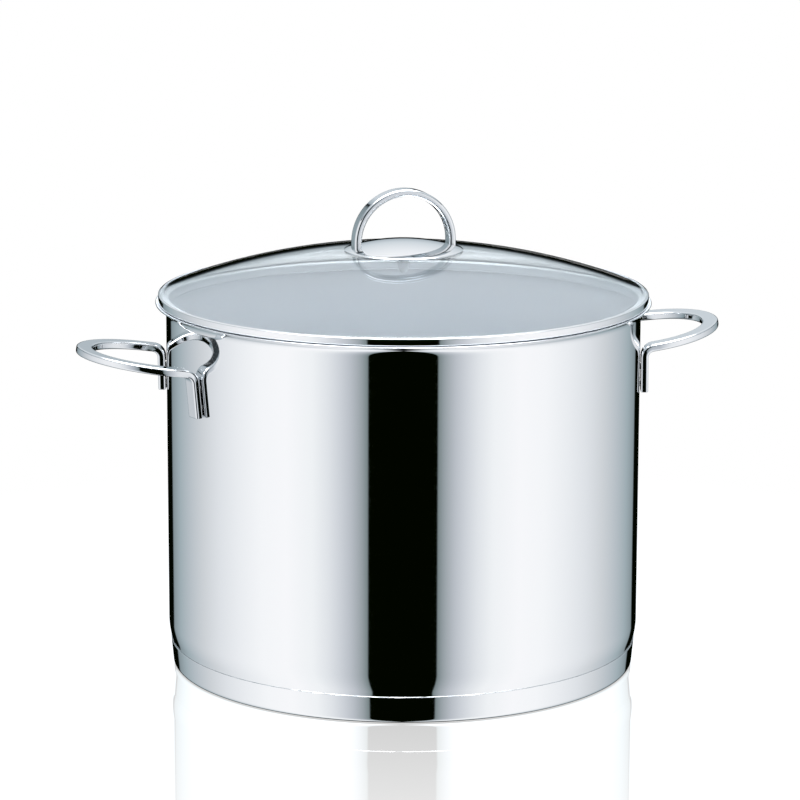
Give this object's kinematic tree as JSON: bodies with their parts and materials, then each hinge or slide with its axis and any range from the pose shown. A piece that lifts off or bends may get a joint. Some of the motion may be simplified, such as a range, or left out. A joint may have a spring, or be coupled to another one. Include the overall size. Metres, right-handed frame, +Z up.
{
  "type": "water bath canner",
  "caption": "Large stainless pot with a flared rim, two loop handles, a domed glass lid with a bow knob, and a wire jar rack inside.",
  "frame": {"origin": "centre of the base's underside, where it rests", "axes": "+Z up; +X out through one handle's middle, and the bow knob lies along X"},
  "size_m": [0.5068, 0.3778, 0.3683],
  "materials": {
    "mirror_steel": "stainless steel, mirror-polished outside, satin inside",
    "core_aluminium": "plain rolled disc, hidden",
    "handle_steel": "stainless flat bar, polished",
    "weld_steel": "resistance weld nuggets",
    "tempered_glass": "clear tempered glass with a ground edge",
    "band_steel": "rolled stainless strip, polished",
    "silicone": "dark grey silicone",
    "knob_steel": "stainless, polished",
    "fastener_steel": "stainless, as turned",
    "rack_wire": "bright drawn stainless wire"
  },
  "bodies": {
    "pot": {"pot_shell": "mirror_steel", "base_cap": "mirror_steel", "base_core": "core_aluminium", "right_handle": "handle_steel", "left_handle": "handle_steel", "right_handle_welds": "weld_steel", "left_handle_welds": "weld_steel"},
    "lid": {"lid_glass": "tempered_glass", "lid_band": "band_steel", "lid_sealant": "silicone", "knob_cap": "knob_steel", "knob_bow": "knob_steel", "knob_stud": "fastener_steel", "knob_ring_gasket": "silicone", "knob_sleeve": "silicone", "knob_lower_gasket": "silicone", "knob_washer": "fastener_steel", "knob_spring_washer": "fastener_steel", "knob_cap_nut": "fastener_steel"},
    "rack": {"rack_outer_ring": "rack_wire", "rack_middle_ring": "rack_wire", "rack_inner_ring": "rack_wire", "rack_spokes": "rack_wire", "rack_feet": "rack_wire"}
  },
  "joints": [
    {"name": "lid_lift", "type": "slide", "parent": "pot", "child": "lid", "axis": [0, 0, 1], "range_m": [0, 0.35]},
    {"name": "rack_lift", "type": "slide", "parent": "pot", "child": "rack", "axis": [0, 0, 1], "range_m": [0, 0.24]}
  ]
}
